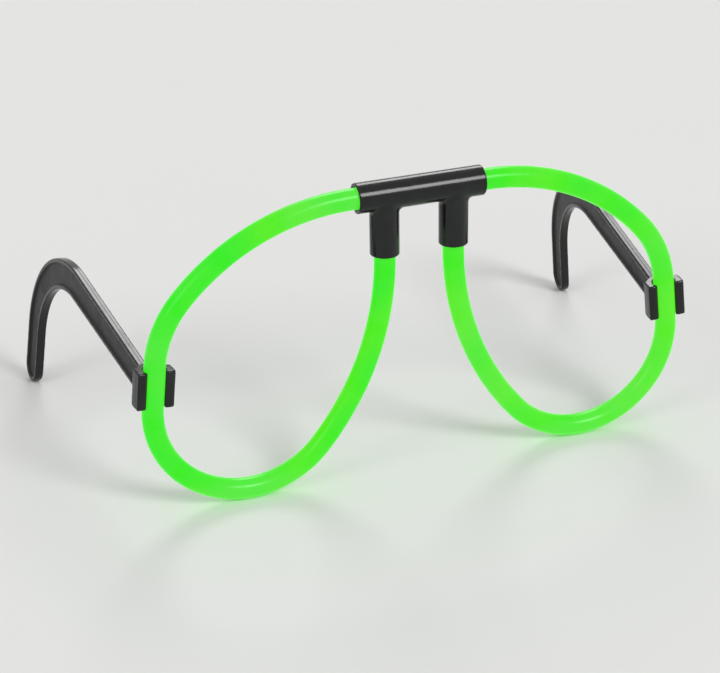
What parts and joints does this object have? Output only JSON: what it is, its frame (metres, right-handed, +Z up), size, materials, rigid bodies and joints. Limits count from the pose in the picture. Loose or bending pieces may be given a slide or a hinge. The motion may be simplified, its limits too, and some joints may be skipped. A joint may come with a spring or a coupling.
{
  "type": "party glasses",
  "caption": "Party glasses: glow sticks bent into lens loops, a moulded bridge that holds their ends, and ear-hook temples that clip round the loops and swing.",
  "frame": {"origin": "on the surface that the glasses stand on, under the middle of their outline in X and Y", "axes": "+X across the face, to the right of someone who looks at the glasses from the front; +Y from the lenses back towards the ear hooks; +Z up"},
  "size_m": [0.1536, 0.087, 0.0734],
  "materials": {
    "black_plastic": "glossy black injection moulding",
    "glowing_tube": "smooth translucent tube lit from inside",
    "stopper_plastic": "smooth",
    "glowing_liquid": "clear glowing liquid",
    "vial_glass": "thin broken glass"
  },
  "bodies": {
    "frame": {"bridge": "black_plastic", "right_tube": "glowing_tube", "right_stopper": "stopper_plastic", "right_liquid": "glowing_liquid", "right_vial": "vial_glass", "left_tube": "glowing_tube", "left_stopper": "stopper_plastic", "left_liquid": "glowing_liquid", "left_vial": "vial_glass"},
    "right_temple": {"right_temple": "black_plastic"},
    "left_temple": {"left_temple": "black_plastic"}
  },
  "joints": [
    {"name": "right_temple_swing", "type": "hinge", "parent": "frame", "child": "right_temple", "pos_m": [0.06378, -0.03999, 0.03229], "axis": [-0.1045, 0, 0.9945], "range_deg": [-250, 82]},
    {"name": "left_temple_swing", "type": "hinge", "parent": "frame", "child": "left_temple", "pos_m": [-0.06378, -0.03999, 0.03229], "axis": [-0.1045, 0, -0.9945], "range_deg": [-258, 90]}
  ]
}
